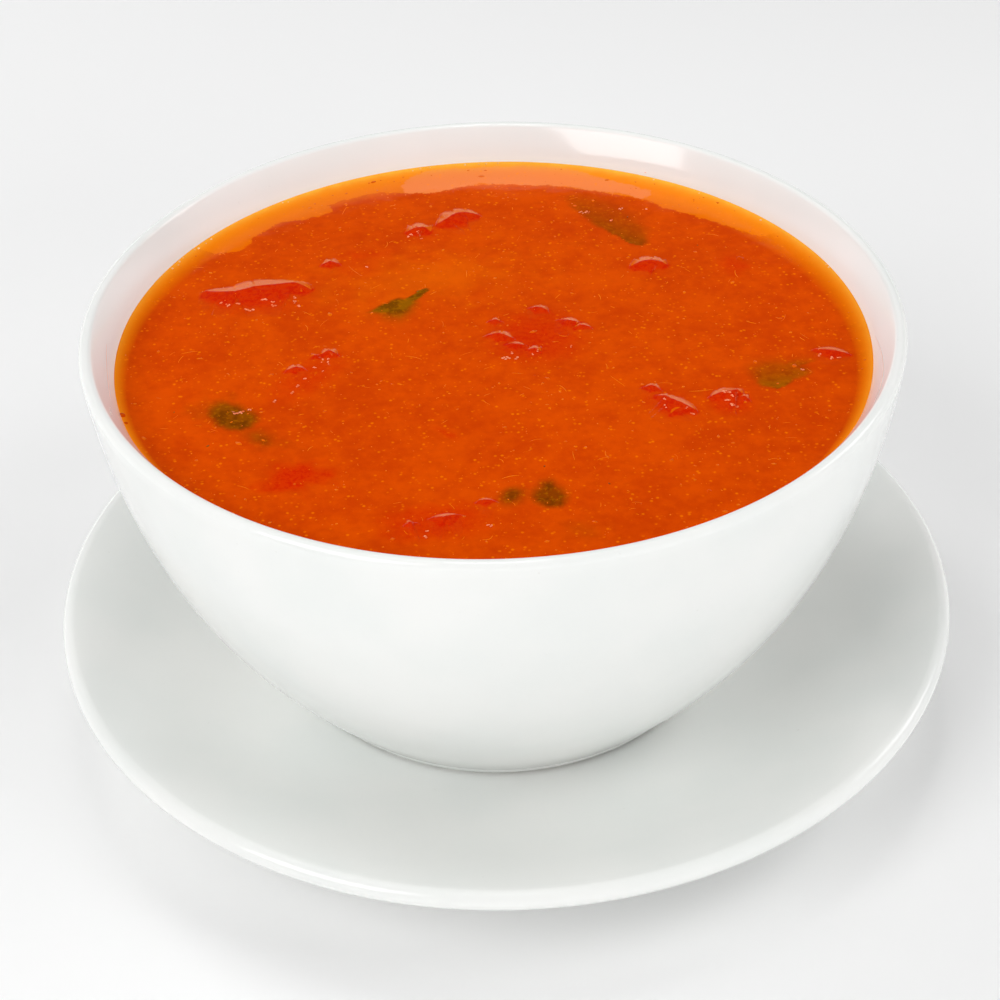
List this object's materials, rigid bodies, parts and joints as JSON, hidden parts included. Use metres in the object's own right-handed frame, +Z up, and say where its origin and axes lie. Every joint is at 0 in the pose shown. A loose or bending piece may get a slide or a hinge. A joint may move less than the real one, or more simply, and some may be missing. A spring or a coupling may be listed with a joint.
{
  "type": "tomato soup in a bowl on a saucer",
  "caption": "Tomato soup with diced tomato and herb leaves in a white porcelain bowl on its saucer: stands on the saucer's foot, filled to just under the lip.",
  "frame": {"origin": "middle of the saucer's foot, on the surface it stands on", "axes": "+Z up, -Y towards the side seen at the front, +X to its right"},
  "size_m": [0.164, 0.164, 0.0792],
  "materials": {
    "porcelain": "white glaze, glossy and smooth",
    "soup": "wet orange-red soup, smooth with fine specks of pulp",
    "tomato": "wet red tomato flesh, lumpy and glossy",
    "herb": "cooked dark green leaf, wet"
  },
  "bodies": {
    "root": {"saucer": "porcelain", "bowl": "porcelain", "soup": "soup", "tomato_die_01": "tomato", "tomato_die_02": "tomato", "tomato_die_03": "tomato", "tomato_die_04": "tomato", "tomato_die_05": "tomato", "tomato_die_06": "tomato", "tomato_die_07": "tomato", "tomato_die_08": "tomato", "tomato_die_09": "tomato", "tomato_die_10": "tomato"}
  },
  "joints": []
}
